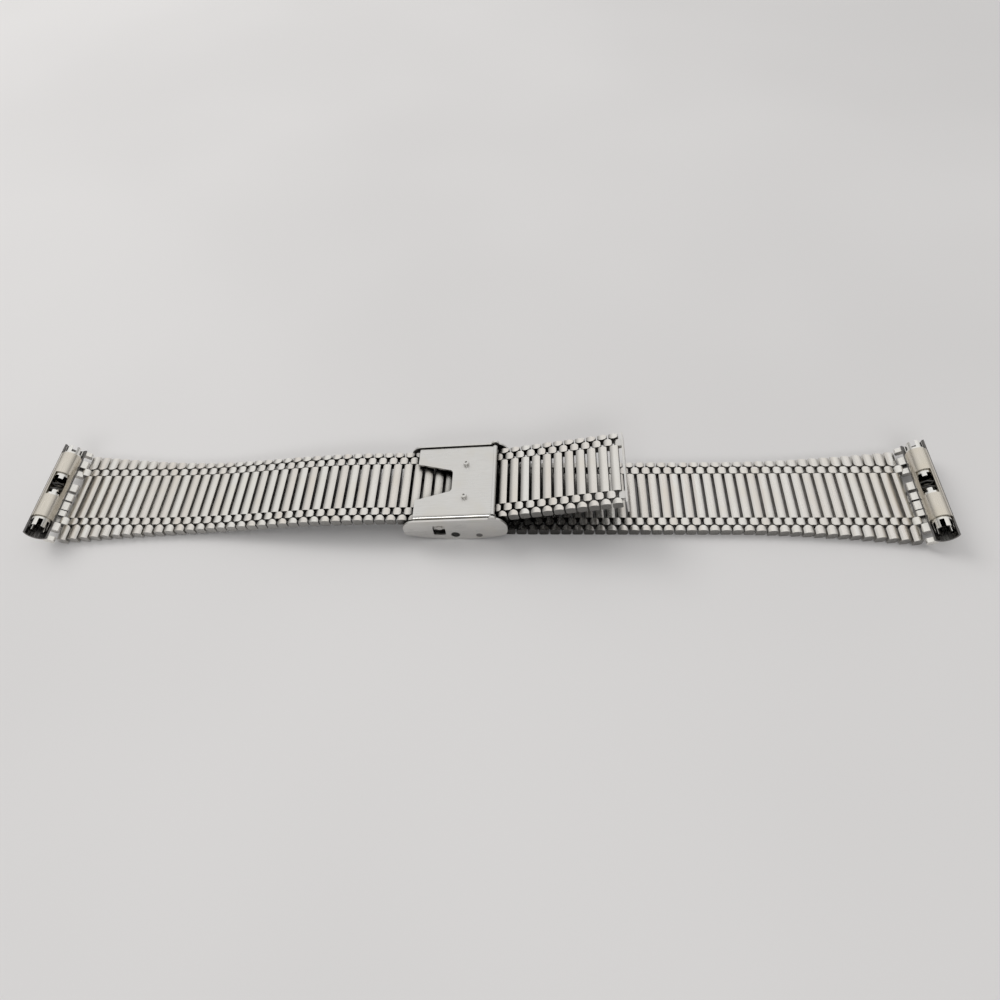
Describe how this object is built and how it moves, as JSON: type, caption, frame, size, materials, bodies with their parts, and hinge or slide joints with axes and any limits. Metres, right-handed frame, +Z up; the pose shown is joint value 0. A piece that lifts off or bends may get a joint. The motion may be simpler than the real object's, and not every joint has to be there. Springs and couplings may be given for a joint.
{
  "type": "metal watch bracelet",
  "caption": "Steel link bracelet for a wrist watch, lying wrist side up, with a sliding clasp under a notched locking flap and telescopic spring tubes at both ends.",
  "frame": {"origin": "centre of the bounding box's bottom, on the table that the bracelet lies on", "axes": "+X along the bracelet to the short side, +Y across it, +Z up, towards the wrist side"},
  "size_m": [0.1548, 0.0192, 0.01],
  "materials": {
    "link_steel": "satin, polished on the shoulders",
    "pin_steel": "plain drawn wire",
    "clasp_steel": "finely brushed sheet",
    "tube_steel": "satin drawn tube",
    "spring_steel": "bare spring steel"
  },
  "bodies": {
    "clasp": {"clasp_shell": "clasp_steel", "anchor_pin": "pin_steel", "cross_pin": "pin_steel", "band_rest": "spring_steel", "flap_hinge_pin": "pin_steel"},
    "flap": {"lock_flap": "clasp_steel", "locking_comb": "pin_steel", "flap_rivets": "clasp_steel"},
    "band_slider": {"clasp_links": "link_steel", "clasp_pins": "pin_steel"},
    "left_6": {"left_6_links": "link_steel", "left_6_pins": "pin_steel"},
    "left_5": {"left_5_links": "link_steel", "left_5_pins": "pin_steel"},
    "left_4": {"left_4_links": "link_steel", "left_4_pins": "pin_steel"},
    "left_3": {"left_3_links": "link_steel", "left_3_pins": "pin_steel"},
    "left_2": {"left_2_links": "link_steel", "left_2_pins": "pin_steel"},
    "left_1": {"left_1_links": "link_steel", "left_1_pins": "pin_steel"},
    "tail_1": {"tail_1_links": "link_steel", "tail_1_pins": "pin_steel"},
    "tail_2": {"tail_2_links": "link_steel", "tail_2_pins": "pin_steel", "tail_stop": "clasp_steel"},
    "right_1": {"right_1_links": "link_steel", "right_1_pins": "pin_steel"},
    "right_2": {"right_2_links": "link_steel", "right_2_pins": "pin_steel"},
    "right_3": {"right_3_links": "link_steel", "right_3_pins": "pin_steel"},
    "right_4": {"right_4_links": "link_steel", "right_4_pins": "pin_steel"},
    "right_5": {"right_5_links": "link_steel", "right_5_pins": "pin_steel"},
    "right_6": {"right_6_links": "link_steel", "right_6_pins": "pin_steel"},
    "right_7": {"right_7_links": "link_steel", "right_7_pins": "pin_steel"},
    "right_8": {"right_8_links": "link_steel", "right_8_pins": "pin_steel"},
    "left_end": {"left_end_bracket": "tube_steel", "left_sleeve": "tube_steel", "left_spring": "spring_steel"},
    "left_tip_far": {"left_tip_far": "tube_steel"},
    "left_tip_near": {"left_tip_near": "tube_steel"},
    "right_end": {"right_end_bracket": "tube_steel", "right_sleeve": "tube_steel", "right_spring": "spring_steel"},
    "right_tip_far": {"right_tip_far": "tube_steel"},
    "right_tip_near": {"right_tip_near": "tube_steel"}
  },
  "joints": [
    {"name": "flap_hinge", "type": "hinge", "parent": "clasp", "child": "flap", "pos_m": [0.00314, 0, 0.00612], "axis": [0, 1, 0], "range_deg": [0, 110]},
    {"name": "band_slide", "type": "slide", "parent": "clasp", "child": "band_slider", "axis": [1, 0, 0], "range_m": [-0.0004, 0.0095]},
    {"name": "left_bend_6", "type": "hinge", "parent": "band_slider", "child": "left_6", "pos_m": [-0.01644, 0, 0.00392], "axis": [0, 1, 0], "range_deg": [-15, 20]},
    {"name": "left_bend_5", "type": "hinge", "parent": "left_6", "child": "left_5", "pos_m": [-0.02593, 0, 0.0035], "axis": [0, 1, 0], "range_deg": [-15, 20]},
    {"name": "left_bend_4", "type": "hinge", "parent": "left_5", "child": "left_4", "pos_m": [-0.03538, 0, 0.00252], "axis": [0, 1, 0], "range_deg": [-15, 20]},
    {"name": "left_bend_3", "type": "hinge", "parent": "left_4", "child": "left_3", "pos_m": [-0.04482, 0, 0.00145], "axis": [0, 1, 0], "range_deg": [-15, 20]},
    {"name": "left_bend_2", "type": "hinge", "parent": "left_3", "child": "left_2", "pos_m": [-0.0543, 0, 0.00085], "axis": [0, 1, 0], "range_deg": [-15, 20]},
    {"name": "left_bend_1", "type": "hinge", "parent": "left_2", "child": "left_1", "pos_m": [-0.06379, 0, 0.00075], "axis": [0, 1, 0], "range_deg": [-15, 20]},
    {"name": "tail_bend_1", "type": "hinge", "parent": "band_slider", "child": "tail_1", "pos_m": [0.00252, 0, 0.00462], "axis": [0, -1, 0], "range_deg": [-9, 9]},
    {"name": "tail_bend_2", "type": "hinge", "parent": "tail_1", "child": "tail_2", "pos_m": [0.01369, 0, 0.00689], "axis": [0, -1, 0], "range_deg": [-10, 25]},
    {"name": "anchor_bend", "type": "hinge", "parent": "clasp", "child": "right_1", "pos_m": [0.00076, 0, 0.0013], "axis": [0, -1, 0], "range_deg": [-15, 6]},
    {"name": "right_bend_2", "type": "hinge", "parent": "right_1", "child": "right_2", "pos_m": [0.01023, 0, 0.00075], "axis": [0, -1, 0], "range_deg": [-15, 8]},
    {"name": "right_bend_3", "type": "hinge", "parent": "right_2", "child": "right_3", "pos_m": [0.01973, 0, 0.00075], "axis": [0, -1, 0], "range_deg": [-15, 15]},
    {"name": "right_bend_4", "type": "hinge", "parent": "right_3", "child": "right_4", "pos_m": [0.02923, 0, 0.00075], "axis": [0, -1, 0], "range_deg": [-15, 15]},
    {"name": "right_bend_5", "type": "hinge", "parent": "right_4", "child": "right_5", "pos_m": [0.03873, 0, 0.00075], "axis": [0, -1, 0], "range_deg": [-15, 20]},
    {"name": "right_bend_6", "type": "hinge", "parent": "right_5", "child": "right_6", "pos_m": [0.04823, 0, 0.00075], "axis": [0, -1, 0], "range_deg": [-15, 20]},
    {"name": "right_bend_7", "type": "hinge", "parent": "right_6", "child": "right_7", "pos_m": [0.05773, 0, 0.00075], "axis": [0, -1, 0], "range_deg": [-15, 20]},
    {"name": "right_bend_8", "type": "hinge", "parent": "right_7", "child": "right_8", "pos_m": [0.06533, 0, 0.00075], "axis": [0, -1, 0], "range_deg": [-15, 20]},
    {"name": "left_end_swing", "type": "hinge", "parent": "left_1", "child": "left_end", "pos_m": [-0.07329, 0, 0.00075], "axis": [0, 1, 0], "range_deg": [-20, 20]},
    {"name": "right_end_swing", "type": "hinge", "parent": "right_8", "child": "right_end", "pos_m": [0.07293, 0, 0.00075], "axis": [0, -1, 0], "range_deg": [-20, 25]},
    {"name": "left_far_tip_push", "type": "slide", "parent": "left_end", "child": "left_tip_far", "axis": [0, -1, 0], "range_m": [0, 0.0008], "stiffness_N_per_m": 100, "deforming": ["left_spring"]},
    {"name": "left_near_tip_push", "type": "slide", "parent": "left_end", "child": "left_tip_near", "axis": [0, 1, 0], "range_m": [0, 0.0008], "stiffness_N_per_m": 100, "deforming": ["left_spring"]},
    {"name": "right_far_tip_push", "type": "slide", "parent": "right_end", "child": "right_tip_far", "axis": [0, -1, 0], "range_m": [0, 0.0008], "stiffness_N_per_m": 100, "deforming": ["right_spring"]},
    {"name": "right_near_tip_push", "type": "slide", "parent": "right_end", "child": "right_tip_near", "axis": [0, 1, 0], "range_m": [0, 0.0008], "stiffness_N_per_m": 100, "deforming": ["right_spring"]}
  ]
}
